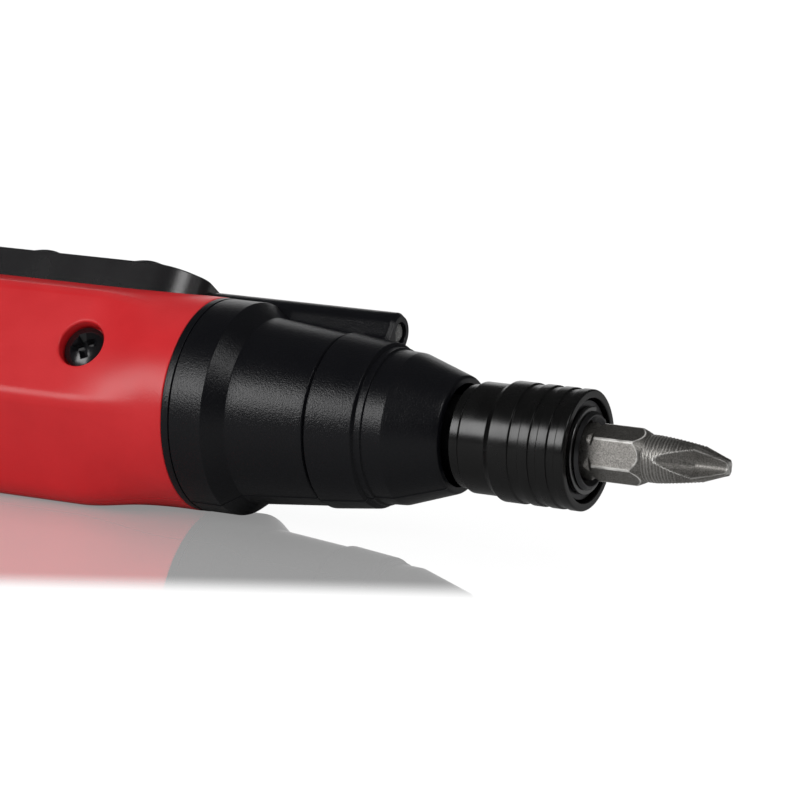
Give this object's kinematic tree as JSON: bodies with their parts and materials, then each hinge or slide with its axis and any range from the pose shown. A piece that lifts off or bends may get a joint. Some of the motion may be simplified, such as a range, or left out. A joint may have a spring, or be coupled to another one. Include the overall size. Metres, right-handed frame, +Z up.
{
  "type": "cordless screwdriver",
  "caption": "Slim inline cordless screwdriver: red faceted body, black paddle lever, black stepped nose with a lamp bar, quick-change chuck sleeve and a cross-point bit.",
  "frame": {"origin": "bottom centre of the box of the tool, laid on its left belly facet", "axes": "+X along the spindle towards the bit's tip, +Z up from the surface it lies on"},
  "size_m": [0.2196, 0.0306, 0.0314],
  "materials": {
    "red_housing": "satin moulded red",
    "black_nose": "fine-textured matte black",
    "black_lever": "satin black",
    "black_sleeve": "semi-gloss black",
    "dark_bit": "phosphated dark grey steel",
    "dark_steel": "oiled black steel",
    "bright_steel": "bright steel",
    "ball_steel": "polished",
    "bronze": "sintered bronze",
    "copper": "copper",
    "clear_lens": "clear lens",
    "grey_plastic": "moulded",
    "black_plastic": "moulded",
    "green_board": "solder mask",
    "cell_wrap": "shrink wrap",
    "carbon": "carbon",
    "magnet": "ferrite"
  },
  "bodies": {
    "body": {"housing_right": "red_housing", "housing_left": "red_housing", "case_screws": "dark_steel", "tail_cap": "black_plastic", "tail_screws": "dark_steel", "charge_socket": "bright_steel", "charge_board": "green_board", "switch_body": "grey_plastic", "control_board": "green_board", "battery_cell": "cell_wrap", "battery_tabs": "bright_steel", "nose_ring": "black_plastic", "nose_cone": "black_nose", "led_lens": "clear_lens", "led_board": "grey_plastic", "ring_gear": "bright_steel", "gear_washer": "bright_steel", "motor_mount": "grey_plastic", "motor_can": "bright_steel", "motor_magnets": "magnet", "motor_endbell": "grey_plastic", "motor_brushes": "carbon", "motor_bushes": "bronze", "bearing_outer_rings": "bright_steel", "bearing_spacer": "bright_steel", "lever_spring": "bright_steel"},
    "lever": {"switch_lever": "black_lever"},
    "plunger": {"switch_plunger": "grey_plastic"},
    "selector": {"direction_selector": "black_lever"},
    "rotor": {"rotor_shaft": "bright_steel", "armature": "dark_steel", "commutator": "copper", "motor_pinion": "bright_steel"},
    "carrier": {"first_carrier": "bright_steel"},
    "spindle": {"output_spindle": "dark_steel", "bearing_inner_rings": "bright_steel", "bearing_circlip": "dark_steel", "stop_ring": "dark_steel", "spring_washer": "dark_steel", "snap_ring": "bright_steel", "sleeve_spring": "bright_steel"},
    "bearing_train": {"bearing_balls": "ball_steel"},
    "sleeve": {"chuck_sleeve": "black_sleeve"},
    "ball_1": {"lock_ball_1": "ball_steel"},
    "ball_2": {"lock_ball_2": "ball_steel"},
    "bit": {"screwdriver_bit": "dark_bit"},
    "first_planet_1": {"first_planet_1": "bright_steel"},
    "first_planet_2": {"first_planet_2": "bright_steel"},
    "first_planet_3": {"first_planet_3": "bright_steel"},
    "second_planet_1": {"second_planet_1": "bright_steel"},
    "second_planet_2": {"second_planet_2": "bright_steel"},
    "second_planet_3": {"second_planet_3": "bright_steel"}
  },
  "joints": [
    {"name": "rotor_spin", "type": "hinge", "parent": "body", "child": "rotor", "pos_m": [0.03625, -0.00017, 0.014], "axis": [1, 0, 0], "continuous": true},
    {"name": "carrier_spin", "type": "hinge", "parent": "body", "child": "carrier", "pos_m": [0.03625, -0.00017, 0.014], "axis": [1, 0, 0], "continuous": true},
    {"name": "spindle_spin", "type": "hinge", "parent": "body", "child": "spindle", "pos_m": [0.03625, -0.00017, 0.014], "axis": [1, 0, 0], "continuous": true},
    {"name": "bearing_roll", "type": "hinge", "parent": "body", "child": "bearing_train", "pos_m": [0.03625, -0.00017, 0.014], "axis": [1, 0, 0], "continuous": true},
    {"name": "first_planet_1_spin", "type": "hinge", "parent": "carrier", "child": "first_planet_1", "pos_m": [0.03625, 0.00284, 0.0183], "axis": [1, 0, 0], "continuous": true},
    {"name": "first_planet_2_spin", "type": "hinge", "parent": "carrier", "child": "first_planet_2", "pos_m": [0.03625, -0.0054, 0.01446], "axis": [1, 0, 0], "continuous": true},
    {"name": "first_planet_3_spin", "type": "hinge", "parent": "carrier", "child": "first_planet_3", "pos_m": [0.03625, 0.00205, 0.00924], "axis": [1, 0, 0], "continuous": true},
    {"name": "second_planet_1_spin", "type": "hinge", "parent": "spindle", "child": "second_planet_1", "pos_m": [0.03625, 0.00284, 0.0183], "axis": [1, 0, 0], "continuous": true},
    {"name": "second_planet_2_spin", "type": "hinge", "parent": "spindle", "child": "second_planet_2", "pos_m": [0.03625, -0.0054, 0.01446], "axis": [1, 0, 0], "continuous": true},
    {"name": "second_planet_3_spin", "type": "hinge", "parent": "spindle", "child": "second_planet_3", "pos_m": [0.03625, 0.00205, 0.00924], "axis": [1, 0, 0], "continuous": true},
    {"name": "sleeve_pull", "type": "slide", "parent": "spindle", "child": "sleeve", "axis": [1, 0, 0], "range_m": [0, 0.0032], "stiffness_N_per_m": 1500, "springref_m": -0.002, "deforming": ["sleeve_spring"]},
    {"name": "ball_1_lift", "type": "slide", "parent": "spindle", "child": "ball_1", "axis": [0, -0.9848, 0.1736], "range_m": [0, 0.0009]},
    {"name": "ball_2_lift", "type": "slide", "parent": "spindle", "child": "ball_2", "axis": [0, 0.9848, -0.1736], "range_m": [0, 0.0009]},
    {"name": "bit_draw", "type": "slide", "parent": "spindle", "child": "bit", "axis": [1, 0, 0], "range_m": [0, 0.0032]},
    {"name": "lever_press", "type": "hinge", "parent": "body", "child": "lever", "pos_m": [0.02425, 0.00545, 0.02203], "axis": [0, -0.8192, 0.5736], "range_deg": [0, 2.2], "stiffness_Nm_per_rad": 2, "springref_deg": -2.86, "deforming": ["lever_spring"]},
    {"name": "plunger_push", "type": "slide", "parent": "body", "child": "plunger", "axis": [0, -0.5736, -0.8192], "range_m": [0, 0.0018]},
    {"name": "selector_slide", "type": "slide", "parent": "body", "child": "selector", "axis": [1, 0, 0], "range_m": [-0.002, 0.002]}
  ],
  "couplings": [
    {"joint": "carrier_spin", "follows": "rotor_spin", "ratio": 0.21429},
    {"joint": "spindle_spin", "follows": "rotor_spin", "ratio": 0.045918},
    {"joint": "bearing_roll", "follows": "rotor_spin", "ratio": 0.018462},
    {"joint": "first_planet_1_spin", "follows": "rotor_spin", "ratio": -0.58929},
    {"joint": "first_planet_2_spin", "follows": "rotor_spin", "ratio": -0.58929},
    {"joint": "first_planet_3_spin", "follows": "rotor_spin", "ratio": -0.58929},
    {"joint": "second_planet_1_spin", "follows": "rotor_spin", "ratio": -0.12628},
    {"joint": "second_planet_2_spin", "follows": "rotor_spin", "ratio": -0.12628},
    {"joint": "second_planet_3_spin", "follows": "rotor_spin", "ratio": -0.12628},
    {"joint": "ball_1_lift", "follows": "sleeve_pull", "ratio": 0.28},
    {"joint": "ball_2_lift", "follows": "sleeve_pull", "ratio": 0.28},
    {"joint": "bit_draw", "follows": "sleeve_pull", "ratio": 1},
    {"joint": "plunger_push", "follows": "lever_press", "m_per_rad": 0.044}
  ]
}
